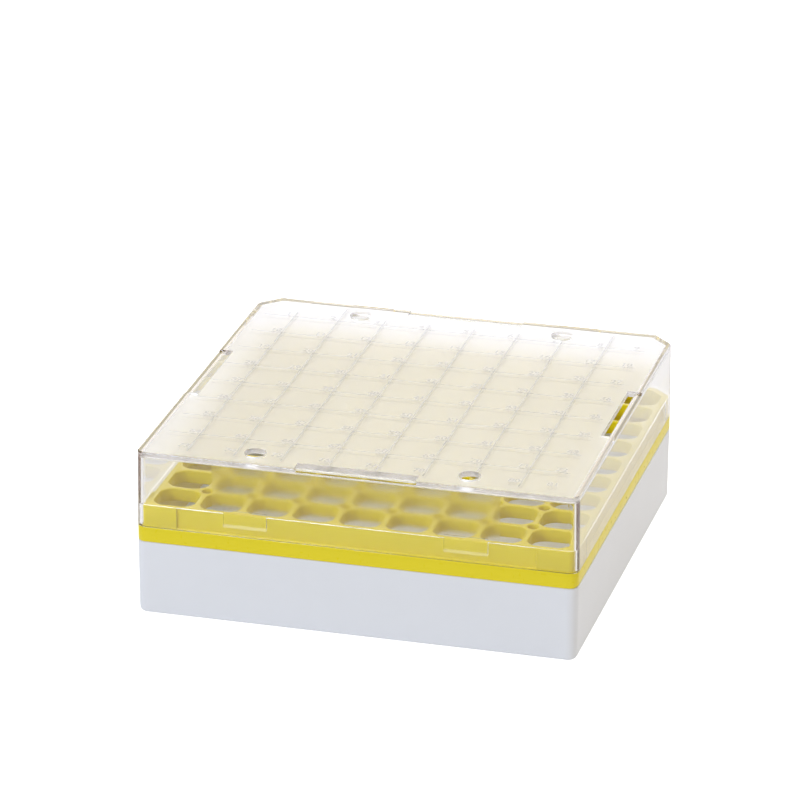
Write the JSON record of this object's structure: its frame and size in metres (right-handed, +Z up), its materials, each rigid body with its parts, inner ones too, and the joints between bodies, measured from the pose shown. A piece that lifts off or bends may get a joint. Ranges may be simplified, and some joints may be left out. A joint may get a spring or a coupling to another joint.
{
  "type": "cryogenic storage box",
  "caption": "Low square freezer box for cryogenic vials: white base tray, yellow cell divider and a clear lift-off lid with vents and a printed position grid.",
  "frame": {"origin": "centre of the base tray's underside, on the surface that the box stands on", "axes": "+Z up through the lid, -Y towards the front, +Y towards the two bevelled key corners, +X to the right"},
  "size_m": [0.132, 0.132, 0.051],
  "materials": {
    "white_plastic": "fine satin moulded polycarbonate",
    "yellow_plastic": "glossy, slightly translucent moulded polycarbonate",
    "clear_plastic": "clear moulded polycarbonate, frosted under its top and on a panel of its front"
  },
  "bodies": {
    "base": {"base_tray": "white_plastic"},
    "divider": {"divider_frame": "yellow_plastic", "divider_ribs": "yellow_plastic"},
    "cover": {"lid": "clear_plastic"}
  },
  "joints": [
    {"name": "divider_lift", "type": "slide", "parent": "base", "child": "divider", "axis": [0, 0, 1], "range_m": [0, 0.05]},
    {"name": "lid_lift", "type": "slide", "parent": "divider", "child": "cover", "axis": [0, 0, 1], "range_m": [0, 0.06]}
  ]
}
